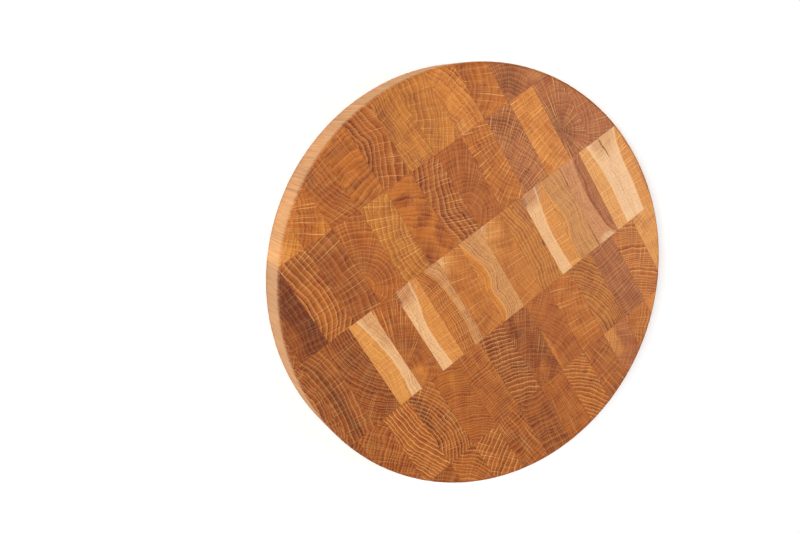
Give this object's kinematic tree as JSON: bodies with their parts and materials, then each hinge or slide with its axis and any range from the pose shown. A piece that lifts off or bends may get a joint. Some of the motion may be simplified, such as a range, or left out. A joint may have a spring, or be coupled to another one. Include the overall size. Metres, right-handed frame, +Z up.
{
  "type": "end-grain chopping block",
  "caption": "Round end-grain chopping block of oiled oak, glued up from upright blocks in straight rows and turned to a flat disc with rounded edges.",
  "frame": {"origin": "centre of the underside, on which the board lies", "axes": "+Z up, square to the faces, from the underside to the working face; X along the glued rows; +Y towards row 1"},
  "size_m": [0.35, 0.35, 0.04],
  "materials": {
    "pale_oak": "oiled end grain",
    "golden_oak": "oiled end grain",
    "amber_oak": "oiled end grain",
    "brown_oak": "oiled end grain",
    "dark_oak": "oiled end grain"
  },
  "bodies": {
    "root": {"row_1_block_01": "amber_oak", "row_1_block_02": "amber_oak", "row_1_block_03": "amber_oak", "row_1_block_04": "brown_oak", "row_1_block_05": "golden_oak", "row_1_block_06": "amber_oak", "row_1_block_07": "amber_oak", "row_1_block_08": "amber_oak", "row_1_block_09": "brown_oak", "row_2_block_01": "dark_oak", "row_2_block_02": "golden_oak", "row_2_block_03": "amber_oak", "row_2_block_04": "brown_oak", "row_2_block_05": "golden_oak", "row_2_block_06": "amber_oak", "row_2_block_07": "brown_oak", "row_2_block_08": "brown_oak", "row_2_block_09": "brown_oak", "row_2_block_10": "dark_oak", "row_2_block_11": "golden_oak", "row_2_block_12": "dark_oak", "row_3_block_01": "amber_oak", "row_3_block_02": "dark_oak", "row_3_block_03": "pale_oak", "row_3_block_04": "brown_oak", "row_3_block_05": "pale_oak", "row_3_block_06": "golden_oak", "row_3_block_07": "amber_oak", "row_3_block_08": "pale_oak", "row_3_block_09": "amber_oak", "row_3_block_10": "golden_oak", "row_3_block_11": "pale_oak", "row_3_block_12": "golden_oak", "row_3_block_13": "pale_oak", "row_3_block_14": "pale_oak", "row_3_block_15": "pale_oak", "row_4_block_01": "amber_oak", "row_4_block_02": "golden_oak", "row_4_block_03": "dark_oak", "row_4_block_04": "amber_oak", "row_4_block_05": "brown_oak", "row_4_block_06": "brown_oak", "row_4_block_07": "dark_oak", "row_4_block_08": "brown_oak", "row_4_block_09": "amber_oak", "row_4_block_10": "golden_oak", "row_4_block_11": "brown_oak", "row_4_block_12": "amber_oak", "row_5_block_01": "amber_oak", "row_5_block_02": "amber_oak", "row_5_block_03": "brown_oak", "row_5_block_04": "amber_oak", "row_5_block_05": "amber_oak", "row_5_block_06": "amber_oak", "row_5_block_07": "amber_oak", "row_5_block_08": "amber_oak", "row_5_block_09": "amber_oak", "rows_1_3_5_ends": "amber_oak", "rows_2_4_ends": "amber_oak"}
  },
  "joints": []
}
